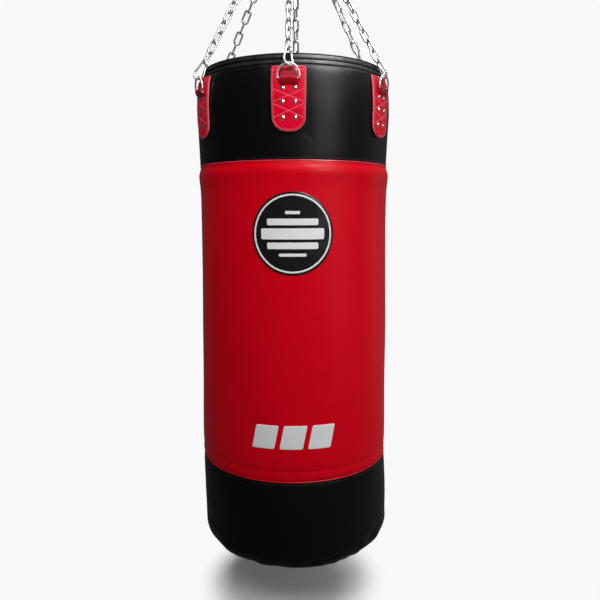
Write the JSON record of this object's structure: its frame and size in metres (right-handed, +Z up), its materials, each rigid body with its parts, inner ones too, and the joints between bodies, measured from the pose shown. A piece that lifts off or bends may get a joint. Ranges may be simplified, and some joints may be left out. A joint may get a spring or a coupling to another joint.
{
  "type": "heavy punching bag",
  "caption": "Tall hanging cylinder bag with a padded wrap, leather hanging tabs, D-rings, snap hooks and converging chains under a ball-bearing swivel.",
  "frame": {"origin": "centre of the swivel's upper eye, where the bag hangs from its hook", "axes": "+Z up along the bag's axis; -Y is the front with the badge; +X to the right seen from the front"},
  "size_m": [0.5011, 0.5296, 1.8681],
  "materials": {
    "black_vinyl": "grained, semi-gloss",
    "black_binding": "coated webbing",
    "red_vinyl": "smooth, glossy",
    "red_edge": "smooth piping",
    "gel": "soft gel sheet",
    "foam": "foam",
    "rag_filling": "shredded textile",
    "tab_leather": "glossy",
    "tab_leather_dark": "glossy",
    "zip_tape": "woven",
    "zip_metal": "satin",
    "badge_black": "gloss",
    "badge_white": "satin",
    "rivet_steel": "polished",
    "plate_steel": "plain",
    "chrome_wire": "polished",
    "zinc_chain": "bright zinc",
    "zinc_steel": "bright zinc",
    "forged_steel": "bright zinc, forged",
    "bearing_steel": "polished"
  },
  "bodies": {
    "ceiling_side": {"swivel_eye": "forged_steel", "swivel_nut": "zinc_steel"},
    "swivel": {"swivel_bow": "forged_steel", "thrust_bearing": "bearing_steel"},
    "connector": {"oval_link": "zinc_steel"},
    "connector_sleeve": {"oval_sleeve": "zinc_steel"},
    "bag": {"rim_binding": "black_binding", "rim_welts": "black_binding", "top_lid": "black_vinyl", "upper_shell": "black_vinyl", "lower_shell": "black_vinyl", "bottom_welt": "black_binding", "bottom_panel": "black_vinyl", "gel_cover": "red_vinyl", "panel_piping": "red_edge", "gel_layer": "gel", "foam_liner": "foam", "textile_filling": "rag_filling", "zip_tape": "zip_tape", "zip_teeth": "zip_metal", "badge_disc": "badge_black", "badge_ring": "badge_white", "lower_mark": "badge_white", "strap_keepers": "tab_leather_dark", "rivets": "rivet_steel", "rivet_washers": "rivet_steel", "backing_plates": "plate_steel", "master_ring": "zinc_steel", "hanging_tab_1": "tab_leather", "d_ring_1": "chrome_wire", "snap_hook_1": "chrome_wire", "chain_1": "zinc_chain", "hanging_tab_2": "tab_leather", "d_ring_2": "chrome_wire", "snap_hook_2": "chrome_wire", "chain_2": "zinc_chain", "hanging_tab_3": "tab_leather", "d_ring_3": "chrome_wire", "snap_hook_3": "chrome_wire", "chain_3": "zinc_chain", "hanging_tab_4": "tab_leather", "d_ring_4": "chrome_wire", "snap_hook_4": "chrome_wire", "chain_4": "zinc_chain", "hanging_tab_5": "tab_leather", "d_ring_5": "chrome_wire", "snap_hook_5": "chrome_wire", "chain_5": "zinc_chain", "hanging_tab_6": "tab_leather", "d_ring_6": "chrome_wire", "snap_hook_6": "chrome_wire", "chain_6": "zinc_chain"},
    "slider": {"zip_slider": "zip_metal"},
    "puller": {"zip_puller": "zip_metal"},
    "gate_1": {"hook_gate_1": "chrome_wire"},
    "gate_2": {"hook_gate_2": "chrome_wire"},
    "gate_3": {"hook_gate_3": "chrome_wire"},
    "gate_4": {"hook_gate_4": "chrome_wire"},
    "gate_5": {"hook_gate_5": "chrome_wire"},
    "gate_6": {"hook_gate_6": "chrome_wire"}
  },
  "joints": [
    {"name": "swivel_spin", "type": "hinge", "parent": "ceiling_side", "child": "swivel", "pos_m": [0, 0, -0.043], "axis": [0, 0, 1], "continuous": true},
    {"name": "fore_aft_swing", "type": "hinge", "parent": "swivel", "child": "connector", "pos_m": [0, 0, -0.112], "axis": [1, 0, 0], "range_deg": [-30, 30]},
    {"name": "side_swing", "type": "hinge", "parent": "connector", "child": "bag", "pos_m": [0, 0, -0.16755], "axis": [0, 1, 0], "range_deg": [-30, 30]},
    {"name": "sleeve_travel", "type": "slide", "parent": "connector", "child": "connector_sleeve", "axis": [0, 0, 1], "range_m": [0, 0.01]},
    {"name": "gate_1_hinge", "type": "hinge", "parent": "bag", "child": "gate_1", "pos_m": [-0.00223, -0.23634, -0.61959], "axis": [-0.6871, 0.6462, -0.332], "range_deg": [0, 25], "stiffness_Nm_per_rad": 0.02},
    {"name": "gate_2_hinge", "type": "hinge", "parent": "bag", "child": "gate_2", "pos_m": [0.20356, -0.1201, -0.61959], "axis": [-0.9032, -0.272, -0.332], "range_deg": [0, 25], "stiffness_Nm_per_rad": 0.02},
    {"name": "gate_3_hinge", "type": "hinge", "parent": "bag", "child": "gate_3", "pos_m": [0.20579, 0.11624, -0.61959], "axis": [-0.2161, -0.9182, -0.332], "range_deg": [0, 25], "stiffness_Nm_per_rad": 0.02},
    {"name": "gate_4_hinge", "type": "hinge", "parent": "bag", "child": "gate_4", "pos_m": [0.00223, 0.23634, -0.61959], "axis": [0.6871, -0.6462, -0.332], "range_deg": [0, 25], "stiffness_Nm_per_rad": 0.02},
    {"name": "gate_5_hinge", "type": "hinge", "parent": "bag", "child": "gate_5", "pos_m": [-0.20356, 0.1201, -0.61959], "axis": [0.9032, 0.272, -0.332], "range_deg": [0, 25], "stiffness_Nm_per_rad": 0.02},
    {"name": "gate_6_hinge", "type": "hinge", "parent": "bag", "child": "gate_6", "pos_m": [-0.20579, -0.11624, -0.61959], "axis": [0.2161, 0.9182, -0.332], "range_deg": [0, 25], "stiffness_Nm_per_rad": 0.02},
    {"name": "zip_slide", "type": "slide", "parent": "bag", "child": "slider", "axis": [1, 0, 0], "range_m": [0, 0.296]},
    {"name": "puller_hinge", "type": "hinge", "parent": "slider", "child": "puller", "pos_m": [-0.148, 0, -0.621], "axis": [0, -1, 0], "range_deg": [0, 150]}
  ]
}
